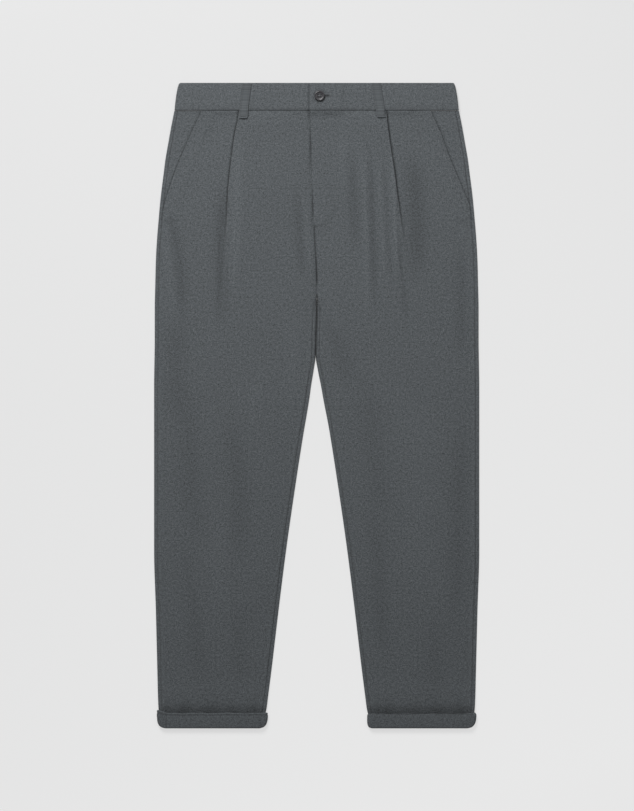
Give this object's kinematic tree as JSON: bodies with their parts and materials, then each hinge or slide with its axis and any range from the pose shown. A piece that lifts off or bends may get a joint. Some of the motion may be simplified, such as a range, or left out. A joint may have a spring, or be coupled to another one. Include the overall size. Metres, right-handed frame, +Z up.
{
  "type": "pleated chinos",
  "caption": "Men's pleated chinos with slant pockets, belt loops, a buttoned waistband and turn-ups, laid flat with the front up.",
  "frame": {"origin": "on the surface the trousers lie on, under the middle of the garment", "axes": "+Y from the hems to the waist, +X to the wearer's left, +Z up out of the front"},
  "size_m": [0.504, 1, 0.0115],
  "materials": {
    "twill": "matt slate grey cotton twill, fine and slightly mottled",
    "band_twill": "the same twill, doubled and top-stitched",
    "loop_twill": "the same twill, folded in three and edge-stitched",
    "turn_up_twill": "the same twill, rolled twice",
    "button": "dark grey satin with a raised rim"
  },
  "bodies": {
    "root": {"front_right": "twill", "front_left": "twill", "back_right": "twill", "back_left": "twill", "hip_facing_right": "twill", "hip_facing_left": "twill", "waistband_right": "band_twill", "waistband_left": "band_twill", "belt_loop_front_right": "loop_twill", "belt_loop_front_left": "loop_twill", "belt_loop_side_right": "loop_twill", "belt_loop_side_left": "loop_twill", "belt_loop_back": "loop_twill", "turn_up_front_right": "turn_up_twill", "turn_up_back_right": "turn_up_twill", "turn_up_front_left": "turn_up_twill", "turn_up_back_left": "turn_up_twill", "button": "button"}
  },
  "joints": []
}
